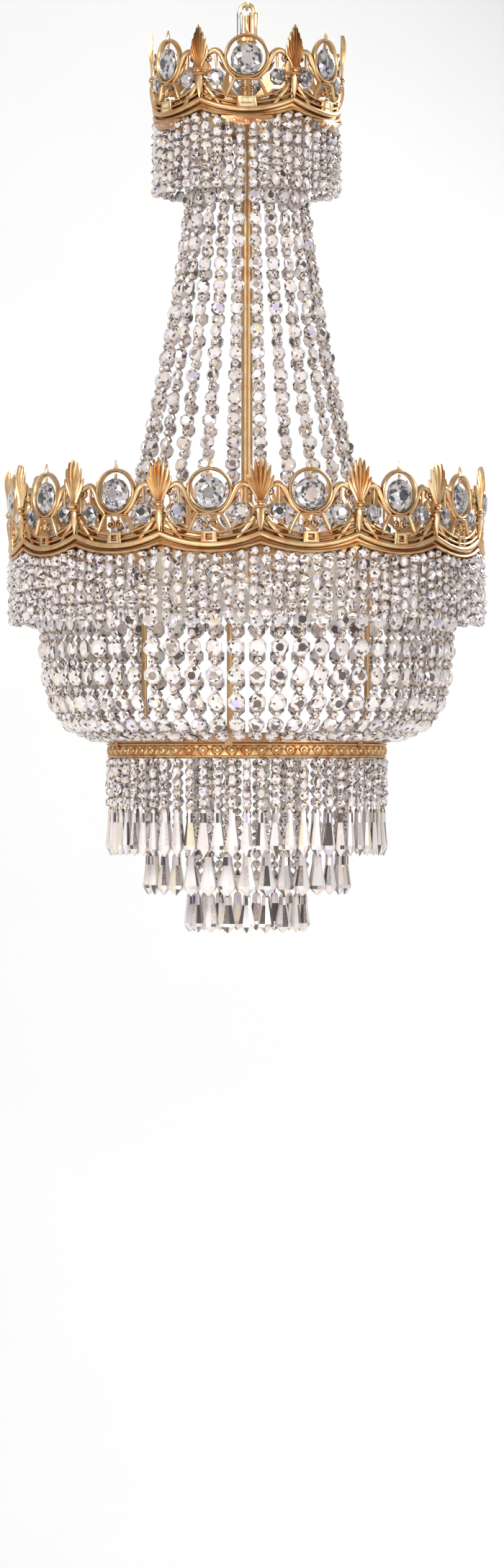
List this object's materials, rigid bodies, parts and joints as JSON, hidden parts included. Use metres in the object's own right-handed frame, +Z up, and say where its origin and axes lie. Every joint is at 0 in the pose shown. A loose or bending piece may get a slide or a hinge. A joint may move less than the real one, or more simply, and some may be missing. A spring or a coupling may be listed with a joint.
{
  "type": "chandelier",
  "caption": "Crystal chandelier: gilt palmette crowns joined by a flared neck of bead strings, with a deep beaded bowl and stepped fringes of drops, hung by a short chain from a ceiling canopy.",
  "frame": {"origin": "middle of the ceiling crossbar's top face, on the axis of the stem, between its screw holes", "axes": "+Z up into the ceiling, +X along the ceiling crossbar, -Y the front that the picture shows"},
  "size_m": [0.5146, 0.5144, 1.1071],
  "materials": {
    "gilt_brass": "polished",
    "rose_brass": "polished",
    "plated_steel": "satin",
    "crystal": "polished",
    "frosted_glass": "satin",
    "white_plastic": "matte",
    "cream_plastic": "matte",
    "clear_lead": "satin"
  },
  "bodies": {
    "ceiling_fitting": {"ceiling_crossbar": "plated_steel", "ceiling_canopy": "gilt_brass", "canopy_eye": "gilt_brass", "crossbar_locknut": "plated_steel", "canopy_ring_nut": "gilt_brass", "terminal_block": "white_plastic"},
    "chain_link_upper": {"chain_link_upper": "gilt_brass"},
    "chain_link_lower": {"chain_link_lower": "gilt_brass"},
    "chandelier": {"stem_yoke": "gilt_brass", "stem_cap": "gilt_brass", "stem_tube": "gilt_brass", "stem_rod": "gilt_brass", "lower_hub": "gilt_brass", "hub_nut": "gilt_brass", "upper_frame": "gilt_brass", "lower_frame": "gilt_brass", "neck_ring": "gilt_brass", "bowl_top_ring": "gilt_brass", "bowl_ring": "rose_brass", "tier_one_band": "gilt_brass", "tier_spider": "gilt_brass", "tie_rods": "gilt_brass", "lamp_holders": "cream_plastic", "bulbs": "frosted_glass", "lamp_leads": "clear_lead", "upper_castings": "gilt_brass", "upper_palmettes": "gilt_brass", "upper_arch_crystals": "crystal", "upper_skirt_strings": "crystal", "lower_castings": "gilt_brass", "lower_palmettes": "gilt_brass", "lower_arch_crystals": "crystal", "lower_skirt_strings": "crystal", "neck_strings": "crystal", "bowl_strings": "crystal", "tier_one_strings": "crystal", "tier_two_strings": "crystal", "tier_three_strings": "crystal"},
    "upper_medallion_crystal_01": {"upper_medallion_crystal_01": "crystal"},
    "upper_medallion_crystal_02": {"upper_medallion_crystal_02": "crystal"},
    "upper_medallion_crystal_03": {"upper_medallion_crystal_03": "crystal"},
    "upper_medallion_crystal_04": {"upper_medallion_crystal_04": "crystal"},
    "upper_medallion_crystal_05": {"upper_medallion_crystal_05": "crystal"},
    "upper_medallion_crystal_06": {"upper_medallion_crystal_06": "crystal"},
    "lower_medallion_crystal_01": {"lower_medallion_crystal_01": "crystal"},
    "lower_medallion_crystal_02": {"lower_medallion_crystal_02": "crystal"},
    "lower_medallion_crystal_03": {"lower_medallion_crystal_03": "crystal"},
    "lower_medallion_crystal_04": {"lower_medallion_crystal_04": "crystal"},
    "lower_medallion_crystal_05": {"lower_medallion_crystal_05": "crystal"},
    "lower_medallion_crystal_06": {"lower_medallion_crystal_06": "crystal"},
    "lower_medallion_crystal_07": {"lower_medallion_crystal_07": "crystal"},
    "lower_medallion_crystal_08": {"lower_medallion_crystal_08": "crystal"},
    "lower_medallion_crystal_09": {"lower_medallion_crystal_09": "crystal"},
    "lower_medallion_crystal_10": {"lower_medallion_crystal_10": "crystal"},
    "lower_medallion_crystal_11": {"lower_medallion_crystal_11": "crystal"},
    "lower_medallion_crystal_12": {"lower_medallion_crystal_12": "crystal"},
    "lower_medallion_crystal_13": {"lower_medallion_crystal_13": "crystal"},
    "lower_medallion_crystal_14": {"lower_medallion_crystal_14": "crystal"},
    "lower_medallion_crystal_15": {"lower_medallion_crystal_15": "crystal"}
  },
  "joints": [
    {"name": "upper_link_swing", "type": "hinge", "parent": "ceiling_fitting", "child": "chain_link_upper", "pos_m": [0, 0, -0.064], "axis": [0, 1, 0], "range_deg": [-20, 20]},
    {"name": "lower_link_swing", "type": "hinge", "parent": "chain_link_upper", "child": "chain_link_lower", "pos_m": [0, 0, -0.0925], "axis": [1, 0, 0], "range_deg": [-20, 20]},
    {"name": "chandelier_swing", "type": "hinge", "parent": "chain_link_lower", "child": "chandelier", "pos_m": [0, 0, -0.1214], "axis": [0, 1, 0], "range_deg": [-20, 20]},
    {"name": "upper_medallion_crystal_01_swing", "type": "hinge", "parent": "chandelier", "child": "upper_medallion_crystal_01", "pos_m": [0, -0.0965, -0.1639], "axis": [1, 0, 0], "range_deg": [-20, 20]},
    {"name": "upper_medallion_crystal_02_swing", "type": "hinge", "parent": "chandelier", "child": "upper_medallion_crystal_02", "pos_m": [0.08357, -0.04825, -0.1639], "axis": [0.5, 0.866, 0], "range_deg": [-20, 20]},
    {"name": "upper_medallion_crystal_03_swing", "type": "hinge", "parent": "chandelier", "child": "upper_medallion_crystal_03", "pos_m": [0.08357, 0.04825, -0.1639], "axis": [-0.5, 0.866, 0], "range_deg": [-20, 20]},
    {"name": "upper_medallion_crystal_04_swing", "type": "hinge", "parent": "chandelier", "child": "upper_medallion_crystal_04", "pos_m": [0, 0.0965, -0.1639], "axis": [-1, 0, 0], "range_deg": [-20, 20]},
    {"name": "upper_medallion_crystal_05_swing", "type": "hinge", "parent": "chandelier", "child": "upper_medallion_crystal_05", "pos_m": [-0.08357, 0.04825, -0.1639], "axis": [-0.5, -0.866, 0], "range_deg": [-20, 20]},
    {"name": "upper_medallion_crystal_06_swing", "type": "hinge", "parent": "chandelier", "child": "upper_medallion_crystal_06", "pos_m": [-0.08357, -0.04825, -0.1639], "axis": [0.5, -0.866, 0], "range_deg": [-20, 20]},
    {"name": "lower_medallion_crystal_01_swing", "type": "hinge", "parent": "chandelier", "child": "lower_medallion_crystal_01", "pos_m": [-0.03825, -0.24706, -0.6283], "axis": [0.9882, -0.153, 0], "range_deg": [-20, 20]},
    {"name": "lower_medallion_crystal_02_swing", "type": "hinge", "parent": "chandelier", "child": "lower_medallion_crystal_02", "pos_m": [0.06555, -0.24125, -0.6283], "axis": [0.965, 0.2622, 0], "range_deg": [-20, 20]},
    {"name": "lower_medallion_crystal_03_swing", "type": "hinge", "parent": "chandelier", "child": "lower_medallion_crystal_03", "pos_m": [0.15801, -0.19374, -0.6283], "axis": [0.7749, 0.632, 0], "range_deg": [-20, 20]},
    {"name": "lower_medallion_crystal_04_swing", "type": "hinge", "parent": "chandelier", "child": "lower_medallion_crystal_04", "pos_m": [0.22315, -0.11272, -0.6283], "axis": [0.4509, 0.8926, 0], "range_deg": [-20, 20]},
    {"name": "lower_medallion_crystal_05_swing", "type": "hinge", "parent": "chandelier", "child": "lower_medallion_crystal_05", "pos_m": [0.2497, -0.01221, -0.6283], "axis": [0.0489, 0.9988, 0], "range_deg": [-20, 20]},
    {"name": "lower_medallion_crystal_06_swing", "type": "hinge", "parent": "chandelier", "child": "lower_medallion_crystal_06", "pos_m": [0.23308, 0.09041, -0.6283], "axis": [-0.3616, 0.9323, 0], "range_deg": [-20, 20]},
    {"name": "lower_medallion_crystal_07_swing", "type": "hinge", "parent": "chandelier", "child": "lower_medallion_crystal_07", "pos_m": [0.17616, 0.17739, -0.6283], "axis": [-0.7096, 0.7046, 0], "range_deg": [-20, 20]},
    {"name": "lower_medallion_crystal_08_swing", "type": "hinge", "parent": "chandelier", "child": "lower_medallion_crystal_08", "pos_m": [0.08878, 0.23371, -0.6283], "axis": [-0.9348, 0.3551, 0], "range_deg": [-20, 20]},
    {"name": "lower_medallion_crystal_09_swing", "type": "hinge", "parent": "chandelier", "child": "lower_medallion_crystal_09", "pos_m": [-0.01396, 0.24961, -0.6283], "axis": [-0.9984, -0.0558, 0], "range_deg": [-20, 20]},
    {"name": "lower_medallion_crystal_10_swing", "type": "hinge", "parent": "chandelier", "child": "lower_medallion_crystal_10", "pos_m": [-0.11427, 0.22235, -0.6283], "axis": [-0.8894, -0.4571, 0], "range_deg": [-20, 20]},
    {"name": "lower_medallion_crystal_11_swing", "type": "hinge", "parent": "chandelier", "child": "lower_medallion_crystal_11", "pos_m": [-0.19483, 0.15665, -0.6283], "axis": [-0.6266, -0.7793, 0], "range_deg": [-20, 20]},
    {"name": "lower_medallion_crystal_12_swing", "type": "hinge", "parent": "chandelier", "child": "lower_medallion_crystal_12", "pos_m": [-0.24171, 0.06386, -0.6283], "axis": [-0.2554, -0.9668, 0], "range_deg": [-20, 20]},
    {"name": "lower_medallion_crystal_13_swing", "type": "hinge", "parent": "chandelier", "child": "lower_medallion_crystal_13", "pos_m": [-0.24678, -0.03997, -0.6283], "axis": [0.1599, -0.9871, 0], "range_deg": [-20, 20]},
    {"name": "lower_medallion_crystal_14_swing", "type": "hinge", "parent": "chandelier", "child": "lower_medallion_crystal_14", "pos_m": [-0.20919, -0.13689, -0.6283], "axis": [0.5476, -0.8368, 0], "range_deg": [-20, 20]},
    {"name": "lower_medallion_crystal_15_swing", "type": "hinge", "parent": "chandelier", "child": "lower_medallion_crystal_15", "pos_m": [-0.13543, -0.21014, -0.6283], "axis": [0.8406, -0.5417, 0], "range_deg": [-20, 20]}
  ]
}
